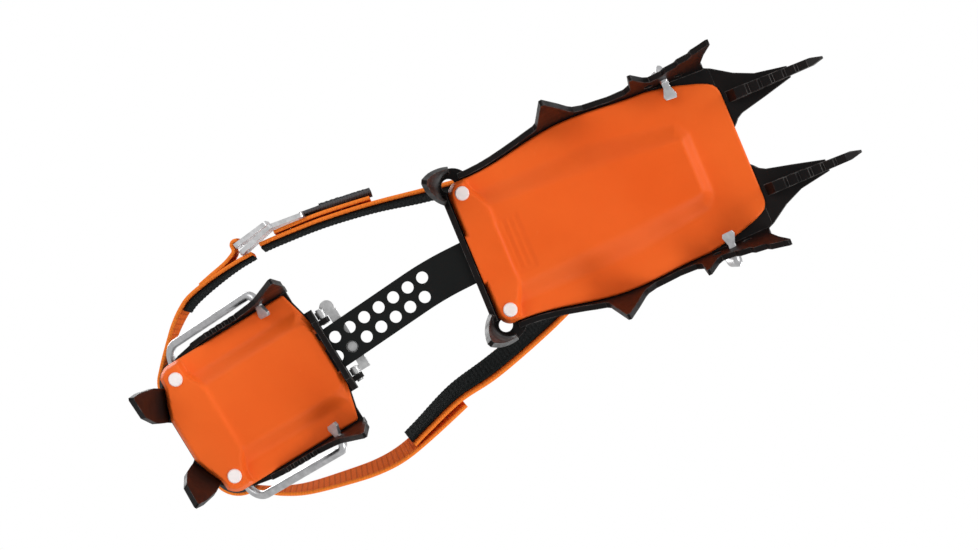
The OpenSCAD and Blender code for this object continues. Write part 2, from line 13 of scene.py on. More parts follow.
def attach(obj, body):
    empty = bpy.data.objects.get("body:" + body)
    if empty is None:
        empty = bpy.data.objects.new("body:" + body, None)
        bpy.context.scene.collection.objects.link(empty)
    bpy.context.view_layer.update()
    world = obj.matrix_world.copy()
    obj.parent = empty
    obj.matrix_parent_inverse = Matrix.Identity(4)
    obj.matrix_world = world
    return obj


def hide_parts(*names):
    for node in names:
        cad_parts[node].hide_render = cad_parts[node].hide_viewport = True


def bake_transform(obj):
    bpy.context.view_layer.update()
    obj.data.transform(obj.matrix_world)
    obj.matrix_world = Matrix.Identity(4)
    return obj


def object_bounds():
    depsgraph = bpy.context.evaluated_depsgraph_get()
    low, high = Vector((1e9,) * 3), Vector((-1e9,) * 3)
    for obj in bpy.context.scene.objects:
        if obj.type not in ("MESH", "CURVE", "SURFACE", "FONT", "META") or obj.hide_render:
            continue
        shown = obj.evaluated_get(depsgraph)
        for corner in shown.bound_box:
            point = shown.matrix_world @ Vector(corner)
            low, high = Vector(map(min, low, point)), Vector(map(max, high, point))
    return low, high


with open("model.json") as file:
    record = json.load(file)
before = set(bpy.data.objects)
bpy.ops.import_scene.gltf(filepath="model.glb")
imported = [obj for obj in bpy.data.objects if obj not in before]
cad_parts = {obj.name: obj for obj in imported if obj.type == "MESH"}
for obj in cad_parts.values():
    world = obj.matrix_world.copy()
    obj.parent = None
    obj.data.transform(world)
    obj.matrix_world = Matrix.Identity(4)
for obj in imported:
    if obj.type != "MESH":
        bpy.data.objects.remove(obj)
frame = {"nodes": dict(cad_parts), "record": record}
cad_box = [list(corner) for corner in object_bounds()]
scene = bpy.context.scene
MM = 0.001

# Webbing, in millimetres. The strap stands on edge, with its middle at the height STRAP_Z.
STRAP_Z, STRAP_W, STRAP_T = 58.0, 20.0, 1.8
STRAP_CHANNEL = 0.16  # depth of the groove beside each edge, which the height of the ribs follows
STRAP_RIB = 2.7  # pitch of the strap's cross ribs
STRAP_STEP, LINING_STEP = 0.6, 0.34  # spacing of the mesh along the tape
LINING_W, LINING_T = 15.0, 1.0
LINING_IN = 0.8  # from the strap's inner face to the middle of the lining
LINING_RIB, LINING_RIB_H = 2.0, 0.42
TACK_HALF_W = 6.5  # half width of a sewn box
STITCH_PITCH = 2.6
THREAD_OUT = -STRAP_T / 2 - 0.05  # stitches lie on the strap's outer face
TAB_W, TAB_T, TAB_STEP = 14, 2.0, 0.5

# ---------------------------------------------------------------- camera, world, lights, floor
CAMERA_AT = (-0.0103, -0.0625, -1.355)
IMAGE_RIGHT = Vector((-0.383, 0.924, 0)).normalized()
IMAGE_UP = Vector((0.924, 0.383, 0)).normalized()


def add_camera():
    data = bpy.data.cameras.new("camera")
    data.lens = 109
    data.sensor_width = 36
    data.clip_start = 0.02
    data.clip_end = 20
    camera = bpy.data.objects.new("camera", data)
    back = IMAGE_RIGHT.cross(IMAGE_UP)
    turn = Matrix((IMAGE_RIGHT, IMAGE_UP, back)).transposed().to_4x4()
    camera.matrix_world = Matrix.Translation(CAMERA_AT) @ turn
    scene.collection.objects.link(camera)
    scene.camera = camera


def add_light(name, at, target, size, watts, colour=(1, 1, 1)):
    data = bpy.data.lights.new(name, "AREA")
    data.shape = "DISK"
    data.size = size
    data.energy = watts
    data.color = colour
    light = bpy.data.objects.new(name, data)
    light.location = at
    light.rotation_euler = (Vector(target) - Vector(at)).to_track_quat("-Z", "Y").to_euler()
    scene.collection.objects.link(light)


def add_world():
    """Soft light from all around; what the camera sees directly is plain white."""
    world = bpy.data.worlds.new("studio")
    world.use_nodes = True
    tree = world.node_tree
    tree.nodes.clear()
    output = tree.nodes.new("ShaderNodeOutputWorld")
    soft = tree.nodes.new("ShaderNodeBackground")
    soft.inputs["Strength"].default_value = 0.74
    white = tree.nodes.new("ShaderNodeBackground")
    white.inputs["Color"].default_value = (1, 1, 1, 1)
    mix = tree.nodes.new("ShaderNodeMixShader")
    path = tree.nodes.new("ShaderNodeLightPath")
    tree.links.new(path.outputs["Is Camera Ray"], mix.inputs[0])
    tree.links.new(soft.outputs[0], mix.inputs[1])
    tree.links.new(white.outputs[0], mix.inputs[2])
    tree.links.new(mix.outputs[0], output.inputs[0])
    scene.world = world


def add_floor():
    """Pale floor under the points. It is seen from above only, so the view from below looks through it."""
    half = 1.6
    z = cad_box[0][2] - 0.0003
    mesh = bpy.data.meshes.new("floor")
    corners = [(-half, -half, z), (half, -half, z), (half, half, z), (-half, half, z)]
    mesh.from_pydata(corners, [], [(0, 1, 2, 3)])
    floor = bpy.data.objects.new("floor", mesh)
    scene.collection.objects.link(floor)
    material = bpy.data.materials.new("floor")
    material.use_nodes = True
    tree = material.node_tree
    bsdf = tree.nodes["Principled BSDF"]
    bsdf.inputs["Base Color"].default_value = (0.82, 0.82, 0.81, 1)
    bsdf.inputs["Roughness"].default_value = 0.8
    clear = tree.nodes.new("ShaderNodeBsdfTransparent")
    side = tree.nodes.new("ShaderNodeNewGeometry")
    mix = tree.nodes.new("ShaderNodeMixShader")
    tree.links.new(side.outputs["Backfacing"], mix.inputs[0])
    tree.links.new(bsdf.outputs[0], mix.inputs[1])
    tree.links.new(clear.outputs[0], mix.inputs[2])
    tree.links.new(mix.outputs[0], tree.nodes["Material Output"].inputs[0])
    mesh.materials.append(material)
    floor.visible_shadow = False
    floor.visible_glossy = False


# ---------------------------------------------------------------- node materials
class Finish:
    """A Principled material with a few helpers for its procedural nodes."""

    def __init__(self, name, colour, roughness, metallic=0.0, **sockets):
        self.material = bpy.data.materials.new(name)
        self.material.use_nodes = True
        self.tree = self.material.node_tree
        self.bsdf = self.tree.nodes["Principled BSDF"]
        self.bsdf.inputs["Base Color"].default_value = (*colour, 1)
        self.bsdf.inputs["Roughness"].default_value = roughness
        self.bsdf.inputs["Metallic"].default_value = metallic
        for socket, value in sockets.items():
            self.bsdf.inputs[socket.replace("_", " ")].default_value = value

    def node(self, kind, inputs=None, **settings):
        made = self.tree.nodes.new("ShaderNode" + kind)
        for key, value in settings.items():
            setattr(made, key, value)
        for key, value in (inputs or {}).items():
            self.feed(made.inputs[key], value)
        return made

    def feed(self, socket, value):
        if isinstance(value, bpy.types.NodeSocket):
            self.tree.links.new(value, socket)
        elif isinstance(value, bpy.types.Node):
            self.tree.links.new(value.outputs[0], socket)
        else:
            socket.default_value = value

    def place(self):
        return self.node("TexCoord").outputs["Object"]

    def noise(self, scale, detail=2.0, rough=0.5, at=None):
        inputs = {"Vector": at or self.place(), "Scale": scale, "Detail": detail, "Roughness": rough}
        return self.node("TexNoise", inputs).outputs[0]

    def math(self, operation, a, b=0.0):
        return self.node("Math", {0: a, 1: b}, operation=operation)

    def fit(self, value, low, high, to_low=0.0, to_high=1.0):
        return self.node("MapRange", {"Value": value, "From Min": low, "From Max": high,
                                      "To Min": to_low, "To Max": to_high})

    def blend(self, factor, a, b):
        mix = self.node("Mix", data_type="RGBA")
        self.feed(mix.inputs[0], factor)
        self.feed(mix.inputs[6], a if not isinstance(a, tuple) else (*a, 1))
        self.feed(mix.inputs[7], b if not isinstance(b, tuple) else (*b, 1))
        return mix.outputs[2]

    def bump(self, height, distance, strength=1.0, normal=None):
        inputs = {"Height": height, "Distance": distance, "Strength": strength}
        if normal is not None:
            inputs["Normal"] = normal
        return self.node("Bump", inputs).outputs[0]

    def soft_edges(self, radius):
        """(rounded normal, mask of the edges)"""
        rounded = self.node("Bevel", {"Radius": radius}, samples=6).outputs[0]
        flat = self.node("NewGeometry").outputs["Normal"]
        dot = self.node("VectorMath", {0: rounded, 1: flat}, operation="DOT_PRODUCT").outputs["Value"]
        return rounded, self.fit(dot, 0.985, 0.80)

    def set(self, **sockets):
        for socket, value in sockets.items():
            self.feed(self.bsdf.inputs[socket.replace("_", " ")], value)
        return self.material


def painted_steel():
    """Black paint over pressed sheet: faint warm mottling, and paler edges, partly rubbed paint and partly
    painted highlight.
    """
    f = Finish("painted_steel", (0.006, 0.006, 0.006), 0.4, Specular_IOR_Level=0.12)
    rounded, edge = f.soft_edges(0.0006)
    mottle = f.noise(55, 4, 0.6)
    paint = f.blend(f.fit(mottle, 0.35, 0.7), (0.0045, 0.0042, 0.0044), (0.0095, 0.0074, 0.007))
    # Paler edges: partly rubbed paint, partly painted highlight where the sheet's edges catch the light.
    rubbed_and_glint = f.math("MULTIPLY", edge, f.fit(f.noise(240, 3), 0.42, 0.62, 0.2, 0.85))
    return f.set(Base_Color=f.blend(rubbed_and_glint, paint, (0.20, 0.195, 0.19)),
                 Roughness=f.fit(f.noise(120, 3), 0.3, 0.75, 0.34, 0.52),
                 Normal=f.bump(f.noise(900, 2), 0.00004, 0.5, rounded))


def bar_black():
    """Black bar, a little worn to grey along its edges."""
    f = Finish("bar_black", (0.0055, 0.0065, 0.0065), 0.5, Specular_IOR_Level=0.14)
    rounded, edge = f.soft_edges(0.0004)
    fine = f.noise(1400, 2)
    tone = f.blend(f.math("MULTIPLY", edge, 0.55), (0.0055, 0.0065, 0.0065), (0.07, 0.07, 0.07))
    return f.set(Base_Color=tone,
                 Roughness=f.fit(f.noise(60, 3), 0.3, 0.7, 0.46, 0.6),
                 Normal=f.bump(fine, 0.00003, 0.6, rounded))


def orange_plastic():
    """Moulded plastic with a fine grain, a slow change of tone and a few paler scuffs."""
    f = Finish("orange_plastic", (0.84, 0.135, 0.016), 0.5, Specular_IOR_Level=0.16)
    tone = f.blend(f.fit(f.noise(16, 3, 0.55), 0.3, 0.72), (0.81, 0.124, 0.013), (0.87, 0.155, 0.020))
    grain = f.noise(1500, 2)
    scuffs = f.fit(f.noise(300, 5, 0.7), 0.66, 0.78)
    return f.set(Base_Color=f.blend(f.math("MULTIPLY", scuffs, 0.25), tone, (0.9, 0.26, 0.08)),
                 Roughness=f.fit(f.noise(45, 3), 0.3, 0.7, 0.44, 0.56),
                 Normal=f.bump(grain, 0.00004, 0.35))


def metal(name, colour, roughness, scratch=(900, 60, 60), bevel=0.0004, metallic=1.0, dip=0.82):
    """Bare metal with fine drawn lines along one axis and small spots."""
    f = Finish(name, colour, roughness, metallic)
    rounded = f.soft_edges(bevel)[0] if bevel else None
    mapped = f.node("Mapping", {"Vector": f.place(), "Scale": scratch}).outputs[0]
    lines = f.noise(1.0, 3, 0.6, mapped)
    spots = f.noise(260, 4, 0.65)
    darker = tuple(c * dip for c in colour)
    lighter = tuple(min(1, c * 1.12) for c in colour)
    return f.set(Base_Color=f.blend(f.fit(spots, 0.35, 0.7), darker, lighter),
                 Roughness=f.fit(lines, 0.3, 0.7, roughness - 0.07, roughness + 0.09),
                 Normal=f.bump(lines, 0.00003, 0.5, rounded))


def dark_plastic():
    """Grained dark plastic, paler along its edges."""
    f = Finish("dark_plastic", (0.028, 0.030, 0.033), 0.48)
    rounded, edge = f.soft_edges(0.0006)
    grain = f.node("TexVoronoi", {"Vector": f.place(), "Scale": 1600.0}).outputs["Distance"]
    tone = f.blend(f.math("MULTIPLY", edge, 0.3), (0.024, 0.026, 0.029), (0.075, 0.077, 0.08))
    return f.set(Base_Color=tone,
                 Roughness=f.fit(f.noise(70, 3), 0.3, 0.7, 0.42, 0.56),
                 Normal=f.bump(grain, 0.00005, 0.5, rounded))


def webbing(name, dark, light, edge_tone, pitch, half_width, rib=0.002):
    """Woven tape, darker in its low threads and between its cross ribs, which is painted shade. Its map runs
    in metres along and across the tape.
    """
    f = Finish(name, light, 0.85, Specular_IOR_Level=0.04)
    uv = f.node("UVMap", uv_map="tape").outputs[0]
    parts = f.node("SeparateXYZ", {0: uv})
    along, across = parts.outputs[0], parts.outputs[1]
    turn = 2 * math.pi / pitch
    twill = f.math("SINE", f.math("MULTIPLY", f.math("ADD", along, f.math("MULTIPLY", across, 0.9)), turn))
    warp = f.math("SINE", f.math("MULTIPLY", across, turn * 1.6))
    weft = f.math("SINE", f.math("MULTIPLY", along, turn * 1.6))
    grid = f.math("MULTIPLY", warp, weft)
    threads = f.math("ADD", f.math("MULTIPLY", twill, 0.6), f.math("MULTIPLY", grid, 0.4))
    height = f.fit(threads, -1, 1)
    fuzz = f.noise(2600, 3, 0.7)
    side = f.fit(f.math("ABSOLUTE", across), half_width - 0.0016, half_width - 0.0008)
    # Painted shade: the weave's low threads take the dark tone.
    tone = f.blend(f.fit(height, 0.15, 0.75), dark, light)
    crest = f.math("ABSOLUTE", f.math("SINE", f.math("MULTIPLY", along, math.pi / rib)))
    # Painted shade: the tape darkens between its cross ribs.
    tone = f.blend(f.fit(crest, 0.1, 0.6, 0.5, 0), tone, tuple(c * 0.55 for c in dark))
    tone = f.blend(f.math("MULTIPLY", side, 0.7), tone, edge_tone)
    tone = f.blend(f.fit(fuzz, 0.45, 0.8, 0, 0.25), tone, tuple(min(1, c * 1.5 + 0.01) for c in light))
    total = f.math("ADD", height, f.math("MULTIPLY", fuzz, 0.4))
    return f.set(Base_Color=tone, Normal=f.bump(total, 0.00022, 0.9))


MATERIALS = {
    "painted_steel": painted_steel(),
    "bar_black": bar_black(),
    "orange_plastic": orange_plastic(),
    # Rivet heads: near-white and mostly diffuse (metallic 0.2), partly painted reflection of the white
    # surroundings.
    "rivet_steel": metal("rivet_steel", (0.95, 0.95, 0.95), 0.5, (300, 300, 300), 0.0003, 0.2, 0.97),
    "bail_steel": metal("bail_steel", (0.66, 0.66, 0.67), 0.34),
    "clip_steel": metal("clip_steel", (0.62, 0.62, 0.62), 0.4),
    "dark_plastic": dark_plastic(),
    "orange_webbing": webbing("orange_webbing", (0.66, 0.072, 0.006), (0.95, 0.185, 0.019),
                              (0.98, 0.27, 0.04), 0.0013, STRAP_W / 2 * MM, STRAP_RIB * MM),
    "black_webbing": webbing("black_webbing", (0.004, 0.005, 0.005), (0.017, 0.020, 0.020),
                             (0.015, 0.018, 0.018), 0.0010, LINING_W / 2 * MM),
    "buckle_steel": metal("buckle_steel", (0.82, 0.82, 0.83), 0.34, (60, 500, 60), 0.0),
    "grey_webbing": webbing("grey_webbing", (0.022, 0.023, 0.025), (0.085, 0.088, 0.092),
                            (0.11, 0.11, 0.115), 0.0012, 0.008),
}


def finish_frame():
    """Gives every CAD node the finish of its slot in the record."""
    for part in frame["record"]["subparts"]:
        node = frame["nodes"][part["node"]]
        for place in node.material_slots:
            place.material = MATERIALS[part["material_slot"]]
        if not node.material_slots:
            node.data.materials.append(MATERIALS[part["material_slot"]])


# ---------------------------------------------------------------- mesh helpers
def new_object(name, vertices, faces, slot):
    """Smooth-shaded mesh object with the finish of one of the record's slots."""
    mesh = bpy.data.meshes.new(name)
    mesh.from_pydata([tuple(v) for v in vertices], [], [tuple(f) for f in faces])
    mesh.validate()
    mesh.polygons.foreach_set("use_smooth", [True] * len(mesh.polygons))
    mesh.materials.append(MATERIALS[slot])
    obj = bpy.data.objects.new(name, mesh)
    scene.collection.objects.link(obj)
    return obj


def ease(t):
    """0 below 0, 1 above 1, and a smooth step between."""
    t = np.clip(t, 0, 1)
    return t * t * (3 - 2 * t)


def edge_distance(points, polygon):
    """Distance of each 2D point to a closed polygon's outline."""
    best = np.full(len(points), 1e9)
    for a, b in zip(polygon, np.roll(polygon, -1, axis=0)):
        d = b - a
        t = np.clip(((points - a) @ d) / max(d @ d, 1e-12), 0, 1)
        best = np.minimum(best, np.linalg.norm(points - a - t[:, None] * d, axis=1))
    return best


def inside(points, polygon):
    """Whether each 2D point is inside a closed polygon."""
    x, y = points.T
    found = np.zeros(len(points), bool)
    for (ax, ay), (bx, by) in zip(polygon, np.roll(polygon, -1, axis=0)):
        if ay != by:
            crosses = (ay > y) != (by > y)
            found ^= crosses & (x < ax + (y - ay) * (bx - ax) / (by - ay))
    return found


def full_outline(half):
    """Closed outline from its right half."""
    half = np.array(half, float)
    return np.vstack([half, half[::-1] * [-1, 1]])


# ---------------------------------------------------------------- anti-snow plates
SKIN_TOP, SKIN_T, RAISED = -2.8, 1.8, 5.9
BODY_RISE = 0.8  # the plate's middle, as a share of RAISED
STRIP_RAMP, MOUTH_RAMP, RIM_RAMP = 2.4, 1.5, 2.2  # width of each slope
RIM_ROUND = 1.1  # radius of the lower rim
ROW_PITCH, COLUMNS = 0.8, 97  # the mesh's grid
RIM_ROWS = np.array([0, 0.15, 0.35, 0.6])  # extra rows close to both ends
PANEL_DEPTH, PANEL_RAMP = 0.35, 0.7
RIB_PITCH, RIB_H, RIB_HALF_W, RIB_RAMP, RIB_INSET = 3.0, 0.3, 0.9, 0.6, 1.6  # ribs in the panel

# The front deck's outer edge, as the CAD has it: its half width at the widest place, how far it draws in
# towards the rear and the front, how long each of those runs is, and the straight taper ahead of RAIL_TIP_Y
RAIL_HALF_W, RAIL_WIDEST_Y = 44.1, -3
RAIL_REAR_IN, RAIL_REAR_RUN = 6.9, 54
RAIL_FRONT_IN, RAIL_FRONT_RUN = 1.9, 35
RAIL_TIP_Y, RAIL_TIP_SLOPE = 30, 0.03


def front_rail(y):
    """Outer half width of the front deck at y, in millimetres."""
    if y < RAIL_WIDEST_Y:
        turn = math.pi * min(1, (RAIL_WIDEST_Y - y) / RAIL_REAR_RUN)
        return RAIL_HALF_W - RAIL_REAR_IN * ((1 - math.cos(turn)) / 2)
    turn = math.pi * min(1, (y - RAIL_WIDEST_Y) / RAIL_FRONT_RUN)
    return RAIL_HALF_W - RAIL_FRONT_IN * (1 - math.cos(turn)) / 2 - RAIL_TIP_SLOPE * max(0, y - RAIL_TIP_Y)


def corner_points(x, y, radius, angles):
    """Rounded corner of a plate's outline, around the point x, y."""
    return [(x + radius * math.cos(math.radians(a)), y + radius * math.sin(math.radians(a))) for a in angles]


# Each plate, in millimetres: the right half of its outline, the top and foot of its raised body, its raised
# strip, its mouth for the bar and its recessed panel. The panel takes the place of a mark.
FRONT_PLATE = {
    "half": corner_points(28.6, -59.6, 6.4, range(-90, -17, 9))
    + [(front_rail(-57 + 3.05 * i) - 2.4, -57 + 3.05 * i) for i in range(31)]
    + [(38.6, 41), (36.8, 49.5), (33.8, 59), (32, 63), (30.8, 64.9), (29, 66.2), (27, 66.8), (25, 67)],
    "crest": [(-18.5, -57), (18.5, -57), (12, 41), (-12, 41)],
    "foot": [(-28, -57), (28, -57), (28.5, 5), (22, 43), (15, 47.5), (-15, 47.5), (-22, 43), (-28.5, 5)],
    "strip": (-56.5, -50.5, 16.5, 33), "mouth": (-14.1, 10.9, -1), "panel": (-15, 12, -51.5, -40),
}
HEEL_PLATE = {
    "half": [(10.5, -38.8), (18, -36.4), (24.5, -33.6), (29.5, -33.2)]
    + corner_points(25.7, -26.5, 7.6, range(-50, 1, 10))
    + [(33.3, 33.8), (32.6, 34.6), (17, 38.6), (10, 38.8)],
    "crest": [(-15.5, -22), (15.5, -22), (16.6, 37.8), (-16.6, 37.8)],
    "foot": [(-24.5, -22), (24.5, -22), (25, 37.8), (-25, 37.8)],
    "strip": (-21.5, -17, 15, 27), "mouth": (-11.8, 13.2, 1), "panel": None,
}


def plate_relief(points, plan):
    """Height of the moulding, 0 on the skin and 1 on the raised faces, and distance to the rim."""
    outline = full_outline(plan["half"])
    rim = np.where(inside(points, outline), edge_distance(points, outline), 0)
    crest, foot = np.array(plan["crest"], float), np.array(plan["foot"], float)
    to_foot, to_crest = edge_distance(points, foot), edge_distance(points, crest)
    slope = to_foot / (to_foot + to_crest + 1e-9)
    body = BODY_RISE * np.where(inside(points, crest), 1, np.where(inside(points, foot), ease(slope), 0))
    outer, middle, near, far = plan["strip"]
    x, y = points.T
    line = middle + (outer - middle) * ease((np.abs(x) - near) / (far - near))
    strip = ease((line - y) / STRIP_RAMP + 0.5)
    low, high, end = plan["mouth"]
    in_mouth = ease((x - low) / MOUTH_RAMP) * ease((high - x) / MOUTH_RAMP) * (np.sign(y) == end)
    wall = np.maximum(ease(rim / RIM_RAMP), in_mouth)
    return (1 - (1 - body) * (1 - strip)) * wall, rim


def moulded_plate(name, node, plan, turn, body):
    """Thin moulded shell: one grid below, one above, and a rounded rim."""
    half = np.array(plan["half"], float)
    low, high = half[:, 1].min(), half[:, 1].max()
    rows = np.unique(np.round(np.concatenate([
        np.arange(low, high, ROW_PITCH), half[:, 1], low + RIM_ROWS, high - RIM_ROWS]), 3))
    u = np.linspace(-1, 1, COLUMNS)
    u = np.sign(u) * (1 - (1 - np.abs(u)) ** 1.25)
    order = np.argsort(half[:, 1], kind="stable")
    width = np.interp(rows, half[order, 1], half[order, 0])
    x = u[None, :] * width[:, None]
    y = np.repeat(rows[:, None], len(u), axis=1)
    flat = np.stack([x.ravel(), y.ravel()], axis=1)
    height, rim = plate_relief(flat, plan)
    below = SKIN_TOP - SKIN_T - RAISED * height
    above = np.minimum(SKIN_TOP, below + SKIN_T)
    to_round = RIM_ROUND - np.minimum(rim, RIM_ROUND)
    below = below + RIM_ROUND - np.sqrt(np.maximum(0, RIM_ROUND**2 - to_round**2))
    if plan["panel"]:
        x0, x1, y0, y1 = plan["panel"]
        gap_x = np.minimum(flat[:, 0] - x0, x1 - flat[:, 0])
        gap_y = np.minimum(flat[:, 1] - y0, y1 - flat[:, 1])
        gap = np.minimum(gap_x, gap_y)
        below = below + PANEL_DEPTH * ease(gap / PANEL_RAMP)
        phase = (flat[:, 1] - (y0 + y1) / 2 + 2.5 * RIB_PITCH) % RIB_PITCH
        ribs = ease((RIB_HALF_W - np.abs(phase - RIB_PITCH / 2)) / RIB_RAMP)
        below = below - RIB_H * ribs * ease((gap - RIB_INSET) / RIB_RAMP)
    count = len(flat)
    vertices = np.vstack([np.column_stack([flat, below]), np.column_stack([flat, above])]) * MM
    vertices = vertices @ np.array(turn[0]).T + np.array(turn[1])
    across, faces = len(u), []
    for i in range(len(rows) - 1):
        for j in range(across - 1):
            a = i * across + j
            faces.append((a, a + across, a + across + 1, a + 1))
            faces.append((count + a, count + a + 1, count + a + across + 1, count + a + across))
    ring = (list(range(across)) + [i * across + across - 1 for i in range(1, len(rows))]
            + [(len(rows) - 1) * across + j for j in range(across - 2, -1, -1)]
            + [i * across for i in range(len(rows) - 2, 0, -1)])
    for a, b in zip(ring, ring[1:] + ring[:1]):
        faces.append((a, b, count + b, count + a))
    plate = new_object(name, vertices, faces, "orange_plastic")
    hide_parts(node)
    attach(plate, body)


HEEL_TURN = math.radians(-9)
HEEL_AT = Vector((-0.0209, -0.182, 0))
UNTURNED = ([[1, 0, 0], [0, 1, 0], [0, 0, 1]], [0, 0, 0])
HEEL_PLACE = ([[math.cos(HEEL_TURN), -math.sin(HEEL_TURN), 0], [math.sin(HEEL_TURN), math.cos(HEEL_TURN), 0],
               [0, 0, 1]], list(HEEL_AT))


# ---------------------------------------------------------------- webbing
# Routes in millimetres, as in part.scad: x, y and the tape's lean in degrees
FRONT_ROUTE = [
    (43.8, -157.5, 6), (44, -148, 6), (43.6, -126, 6), (41.2, -101, 8), (37.2, -77, 12),
    (34.3, -55, 12), (31.5, -30, 7), (29.5, -12, 2), (26, -3.5, 0), (20, 0, 0), (8, 0, 0),
    (-8, 0, 0), (-20, 0, 0), (-26, -3.5, 0), (-30, -12, 4), (-36, -29, 15), (-43, -50, 25),
    (-51.5, -78, 30), (-56.5, -99, 25), (-65, -119, 20), (-68.5, -127, 20),
]
TAIL_ROUTE = [(46.6, -149, 6), (46.6, -138, 6), (46.4, -126, 6), (45.2, -112, 7), (44, -101, 8)]
MEDIAL_ROUTE = [
    (-59.8, -97.5, 25), (-68, -117.5, 20), (-73, -133, 18), (-74.5, -146, 16), (-73.8, -160, 14),
    (-71.5, -180, 10), (-68, -192, 6), (-64.5, -199, 2), (-61.4, -204.6, 0),
]
LATERAL_ROUTE = [
    (5.8, -224.7, 0), (11.9, -220.2, 1), (18.3, -214.9, 3), (24.6, -209.2, 6), (30, -203, 8),
    (33.8, -196.5, 9), (37.8, -184, 7), (40.5, -172, 4), (41.8, -162.5, 3),
]
LOOP_ROUTE = [
    (36.6, -190.5, 8), (39.2, -184, 6), (42.2, -176, 4), (45.2, -171, 2), (47.2, -169.9, 0), (49.4, -170, 0),
    (50.9, -168.6, 0), (50.7, -166.4, 0),
]
TAB_ROUTE = [(50.1, -134.6, 6), (49.7, -126, 6), (48.8, -113, 6), (47.8, -99.4, 6)]
PER_SEGMENT = 24  # steps between two points of a route
SIDE_LINING_FROM = 4  # the outer side strap's lining starts at this point of its route

# The heel cradle's rear corners in the heel section's own frame
CORNER_X, CORNER_Y, CORNER_R = 23.5, -29, 13.1
CRADLE_END_X = 13.5


def smooth_route(route):
    """Catmull-Rom curve through the route's points."""
    p = np.array(route, float)
    points = []
    for i in range(len(p) - 1):
        a, b, c, d = p[max(0, i - 1)], p[i], p[i + 1], p[min(len(p) - 1, i + 2)]
        for k in range(PER_SEGMENT):
            t = k / PER_SEGMENT
            points.append(0.5 * (2 * b + t * (c - a) + t * t * (2 * a - 5 * b + 4 * c - d)
                                 + t**3 * (3 * b - a - 3 * c + d)))
    return np.array(points + [p[-1]])


def on_heel(x, y):
    """Route point, in millimetres, from a place in the heel section's own frame."""
    world = Matrix(HEEL_PLACE[0]) @ (Vector((x, y, 0)) * MM) + HEEL_AT
    return (world.x / MM, world.y / MM, 0)


def cradle_corner(side, first, last, count=12):
    """Route points around a rear corner of the heel cradle. The angles are in degrees from straight back."""
    points = []
    for t in np.radians(np.linspace(first, last, count)):
        points.append(on_heel(side * (CORNER_X + CORNER_R * math.sin(t)), CORNER_Y - CORNER_R * math.cos(t)))
    return points


def cradle_end(side):
    """Route point of a strap's riveted end, on the back of the cradle."""
    return [on_heel(side * CRADLE_END_X, CORNER_Y - CORNER_R)]


class Tape:
    """A flat tape on edge along a curve of (x, y, lean): its frame at each arc length."""

    def __init__(self, curve, step):
        fine = np.array(curve, float)
        gaps = np.linalg.norm(np.diff(fine[:, :2], axis=0), axis=1)
        arc = np.concatenate([[0], np.cumsum(gaps)])
        self.length = arc[-1]
        self.s = np.linspace(0, self.length, max(8, int(self.length / step)))
        self.xy = np.stack([np.interp(self.s, arc, fine[:, k]) for k in range(2)], axis=1)
        lean = np.radians(np.interp(self.s, arc, fine[:, 2]))
        heading = np.gradient(self.xy, axis=0)
        heading /= np.linalg.norm(heading, axis=1)[:, None]
        normal = np.stack([-heading[:, 1], heading[:, 0], np.zeros(len(heading))], axis=1)
        vertical = np.array([0, 0, 1.0])
        self.up = np.cos(lean)[:, None] * vertical + np.sin(lean)[:, None] * normal
        self.side = np.cos(lean)[:, None] * normal - np.sin(lean)[:, None] * vertical
        self.heading = np.column_stack([heading, np.zeros(len(heading))])
        self.centre = np.column_stack([self.xy, np.full(len(self.xy), STRAP_Z)])

    def at(self, s, across, out):
        """Point at arc length s, across the width, and out from the middle of the tape (inwards positive)."""
        i = int(np.clip(np.searchsorted(self.s, s), 0, len(self.s) - 1))
        point = self.centre[i] + self.side[i] * out + self.up[i] * across
        return point, self.heading[i], self.up[i], self.side[i]


def tape_section(width, thick, across=10, corner=4):
    """Closed loop of (across, out, which face) around a tape's section, with rounded edges."""
    r = min(0.45 * thick, 0.8)
    w, t = width / 2 - r, thick / 2 - r

    def corner_arc(cx, cy, start):
        turns = [math.radians(start - 90 * k / corner) for k in range(1, corner + 1)]
        return [(cx + r * math.cos(q), cy + r * math.sin(q), 0) for q in turns]

    loop = [(-w + 2 * w * k / across, thick / 2, 1) for k in range(across + 1)]
    loop += corner_arc(w, t, 90) + corner_arc(w, -t, 0)
    loop = loop[:-1] + [(w - 2 * w * k / across, -thick / 2, -1) for k in range(across + 1)]
    loop += corner_arc(-w, -t, -90) + corner_arc(-w, t, 180)
    return loop[:-1]


def tape_mesh(name, tape, width, thick, slot, shift=0.0, relief=None, across=10):
    """Mesh of a tape, shift millimetres inwards. relief(s, across, face) thickens it on that face."""
    section = tape_section(width, thick, across)
    vertices, count = [], len(section)
    for i, s in enumerate(tape.s):
        for a, b, face in section:
            extra = relief(s, a, face) * face if relief and face else 0
            vertices.append((tape.centre[i] + tape.side[i] * (shift + b + extra) + tape.up[i] * a) * MM)
    faces = []
    for i in range(len(tape.s) - 1):
        for k in range(count):
            n = (k + 1) % count
            faces.append((i * count + k, i * count + n, (i + 1) * count + n, (i + 1) * count + k))
    end = (len(tape.s) - 1) * count
    faces.append(tuple(reversed(range(count))))
    faces.append(tuple(range(end, end + count)))
    obj = new_object(name, vertices, faces, slot)
    layer = obj.data.uv_layers.new(name="tape")
    uv = np.zeros((len(obj.data.loops), 2))
    index = np.zeros(len(obj.data.loops), np.int32)
    obj.data.loops.foreach_get("vertex_index", index)
    uv[:, 0] = tape.s[index // count] * MM
    uv[:, 1] = np.array([p[0] for p in section])[index % count] * MM
    layer.data.foreach_set("uv", uv.ravel())
    return obj


def ribbed(pitch, height):
    """Cross ribs of a woven lining, over its whole width."""
    def relief(s, a, face):
        return height * (abs(math.sin(math.pi * s / pitch)) ** 0.6 - 0.5)
    return relief


